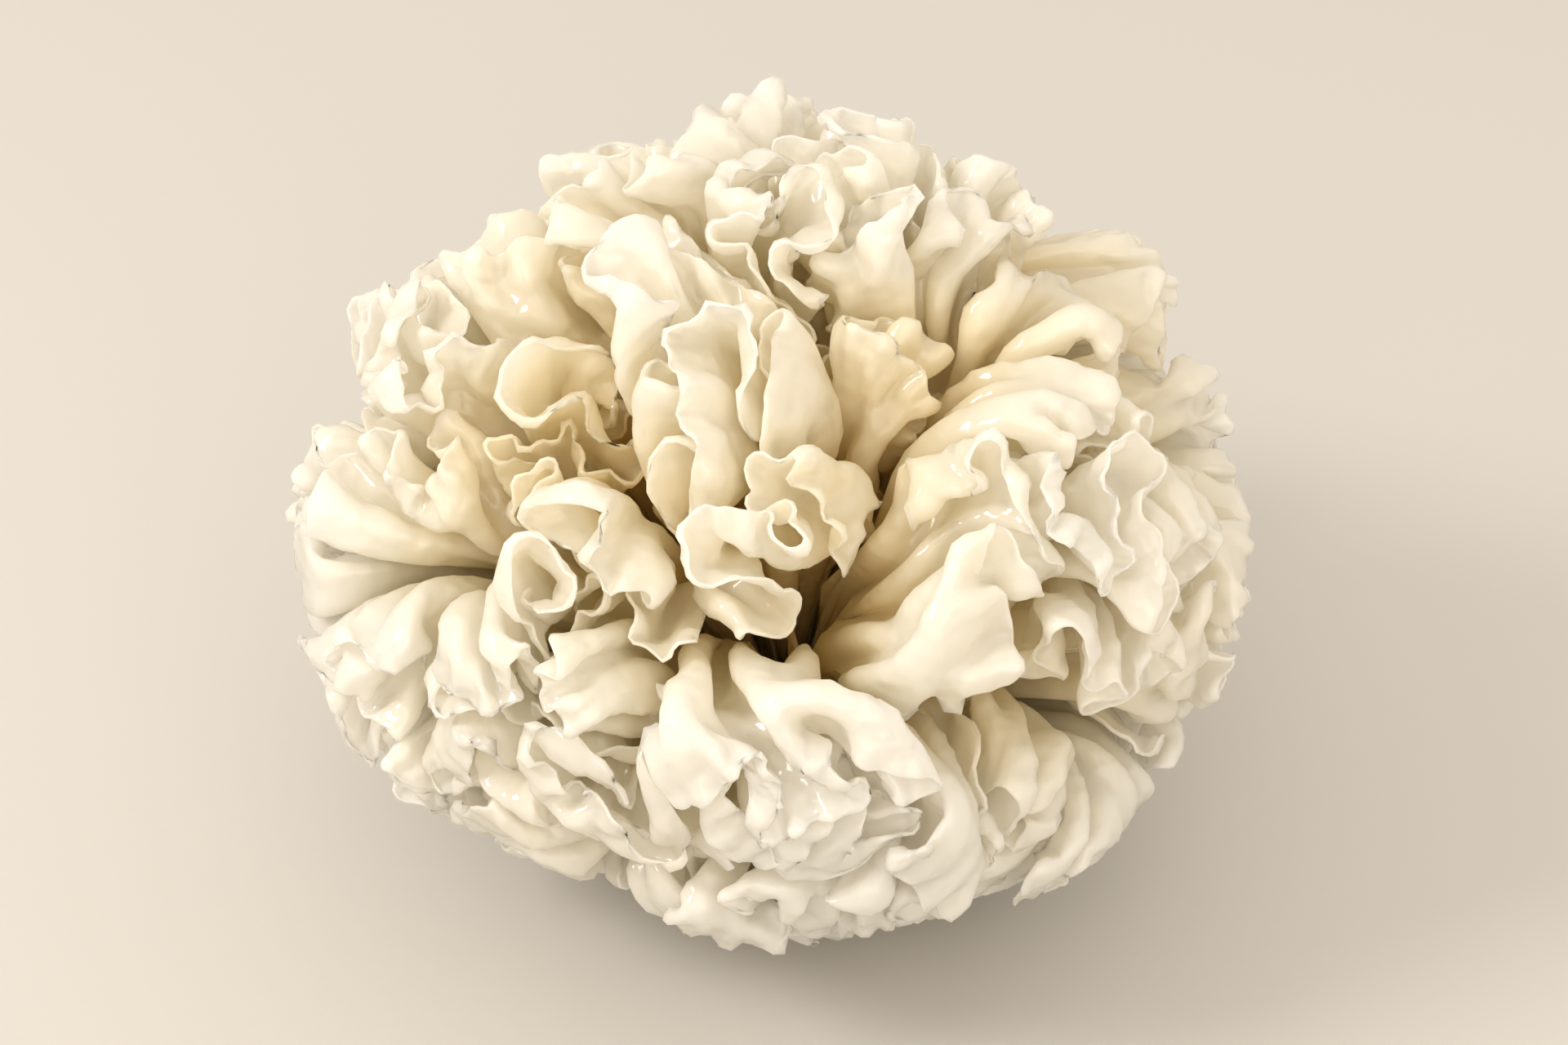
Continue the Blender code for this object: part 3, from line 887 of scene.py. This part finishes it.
def make_tuft(name, members):
    sheets = [sheet_object(fine[k]) for k in members]
    deselect_all()
    for sheet in sheets:
        sheet.select_set(True)
    bpy.context.view_layer.objects.active = sheets[0]
    if len(sheets) > 1:
        bpy.ops.object.join()
    tuft = bpy.context.object
    tuft.name = name
    for title, pattern, height in crinkles:
        crinkle = tuft.modifiers.new(title, "DISPLACE")
        crinkle.texture = pattern
        crinkle.texture_coords = "LOCAL"
        crinkle.strength = height
        crinkle.vertex_group = "towards the rim"
    wall = tuft.modifiers.new("Wall", "SOLIDIFY")
    wall.thickness = WALL
    wall.offset = 0.0
    wall.vertex_group = "towards the rim"
    wall.invert_vertex_group = True
    wall.thickness_vertex_group = RIM_WALL
    apply_modifiers(tuft)
    tuft.data.shade_smooth()
    tuft.data.materials.append(jelly)
    return tuft


tufts = []
for place, name in enumerate(fronds):
    tuft = make_tuft(name.replace("frond", "tuft"), np.nonzero(owner == place)[0])
    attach(tuft, "root")
    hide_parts(name)
    tufts.append(tuft)
triangles = sum(len(face.vertices) - 2 for tuft in tufts for face in tuft.data.polygons)
print(len(tufts), "tufts,", triangles, "triangles")

# %% [markdown]
# ## The foot
#
# The foot is the tough base that was cut off the log. Almost none of it shows, so the frame's own foot
# stays as it is and only gets a finish: an amber that is darker in spots, and less wet than the sheets.

# %% Foot finish on the carried-over foot
FOOT_COLOURS = ((0.46, 0.30, 0.13, 1), (0.82, 0.65, 0.39, 1))
FOOT_GRAIN = 400
FOOT_DETAIL = 2
foot_finish = bpy.data.materials.new("snow fungus foot")
foot_finish.use_nodes = True
foot_tree = foot_finish.node_tree
foot_place = add_node(foot_tree, "ShaderNodeTexCoord")
foot_grain = noise(foot_tree, foot_place, FOOT_GRAIN, FOOT_DETAIL)
foot_tint = add_node(foot_tree, "ShaderNodeValToRGB")
for stop, colour in zip(foot_tint.color_ramp.elements, FOOT_COLOURS):
    stop.color = colour
foot_tree.links.new(foot_grain.outputs["Fac"], foot_tint.inputs["Fac"])
foot_tree.links.new(foot_tint.outputs["Color"], foot_tree.nodes["Principled BSDF"].inputs["Base Color"])
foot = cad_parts["foot"]
foot.data.materials.clear()
foot.data.materials.append(foot_finish)
print("foot finish on", foot.name)
